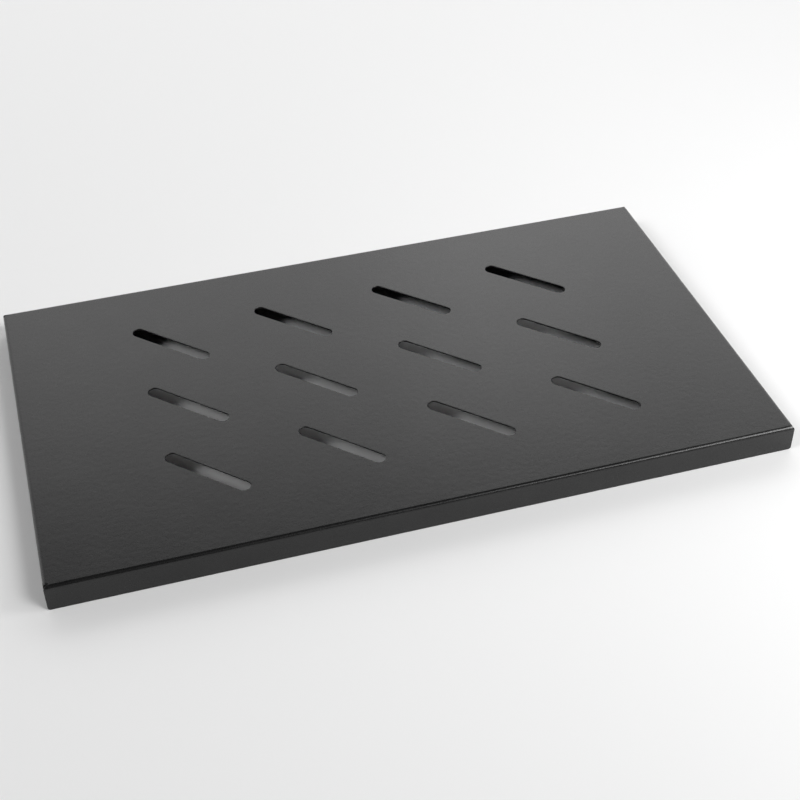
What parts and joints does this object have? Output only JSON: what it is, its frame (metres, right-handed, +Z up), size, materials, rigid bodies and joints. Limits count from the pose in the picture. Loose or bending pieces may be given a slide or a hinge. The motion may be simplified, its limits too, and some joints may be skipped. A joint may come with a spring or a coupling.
{
  "type": "rack shelf",
  "caption": "Shallow folded sheet-steel shelf for a 19-inch cabinet, with a flat deck, slanted vent slots and a flange turned down along each side.",
  "frame": {"origin": "middle of the footprint, level with the lower edge of the flanges", "axes": "+X to the right along the front, +Y from the front to the rear, +Z up out of the deck"},
  "size_m": [0.485, 0.28, 0.019],
  "materials": {
    "powder_coat": "black powder coat with a fine even grain and a low sheen"
  },
  "bodies": {
    "root": {"shelf": "powder_coat"}
  },
  "joints": []
}
